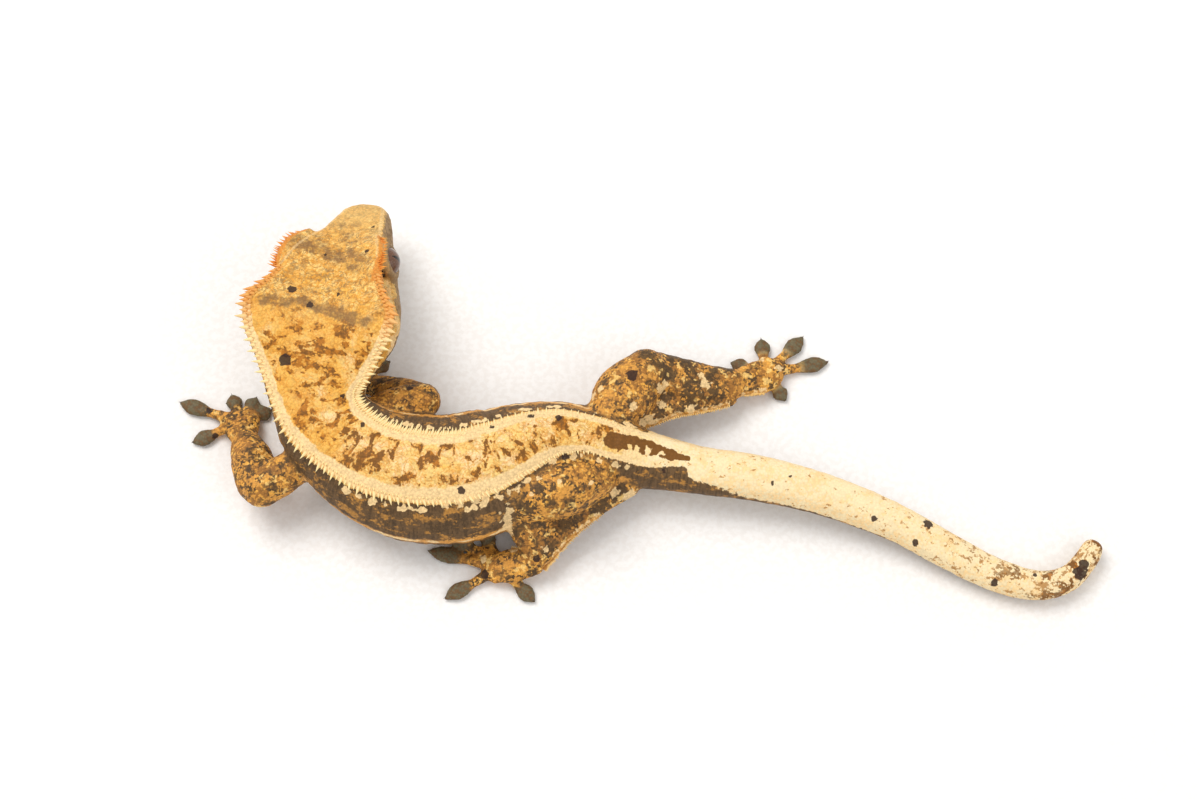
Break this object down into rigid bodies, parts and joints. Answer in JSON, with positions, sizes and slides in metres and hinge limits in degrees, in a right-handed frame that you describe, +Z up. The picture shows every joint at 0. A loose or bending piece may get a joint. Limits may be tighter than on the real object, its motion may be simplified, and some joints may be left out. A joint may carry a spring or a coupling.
{
  "type": "crested gecko",
  "caption": "Life-size still model of a crested gecko with a triangular head, fringed crests along neck and back, padded toes and a tail that curls at its tip.",
  "frame": {"origin": "on the floor, under the centre of the box around the whole animal", "axes": "+X along the body from the shoulders to the tail, +Y towards the way the head points, +Z up"},
  "size_m": [0.1741, 0.0766, 0.0274],
  "materials": {
    "skin_pattern": "granular skin, cream with brown markings",
    "skin_dark": "granular skin, dark brown with orange patches",
    "skin_pale": "fine-grained skin, cream with brown specks",
    "toe_pad": "smooth olive-grey skin",
    "eye": "wet and glossy"
  },
  "bodies": {
    "root": {"belly": "skin_pattern", "chest": "skin_pattern", "eye_left": "eye", "eye_right": "eye", "front_left_forearm": "skin_dark", "front_left_hand": "skin_dark", "front_left_toe_1": "toe_pad", "front_left_toe_2": "toe_pad", "front_left_toe_3": "toe_pad", "front_left_toe_4": "toe_pad", "front_left_toe_5": "toe_pad", "front_left_upper_arm": "skin_dark", "front_right_forearm": "skin_dark", "front_right_hand": "skin_dark", "front_right_toe_1": "toe_pad", "front_right_toe_2": "toe_pad", "front_right_toe_3": "toe_pad", "front_right_toe_4": "toe_pad", "front_right_toe_5": "toe_pad", "front_right_upper_arm": "skin_dark", "head": "skin_pattern", "hind_left_foot": "skin_dark", "hind_left_shank": "skin_dark", "hind_left_thigh": "skin_dark", "hind_left_toe_1": "toe_pad", "hind_left_toe_2": "toe_pad", "hind_left_toe_3": "toe_pad", "hind_left_toe_4": "toe_pad", "hind_left_toe_5": "toe_pad", "hind_right_foot": "skin_dark", "hind_right_shank": "skin_dark", "hind_right_thigh": "skin_dark", "hind_right_toe_1": "toe_pad", "hind_right_toe_2": "toe_pad", "hind_right_toe_3": "toe_pad", "hind_right_toe_4": "toe_pad", "hind_right_toe_5": "toe_pad", "lower_jaw": "skin_pattern", "neck": "skin_pattern", "pelvis": "skin_pattern", "tail_end": "skin_pale", "tail_middle": "skin_pale", "tail_root": "skin_pale", "tail_tip": "skin_pale"}
  },
  "joints": []
}
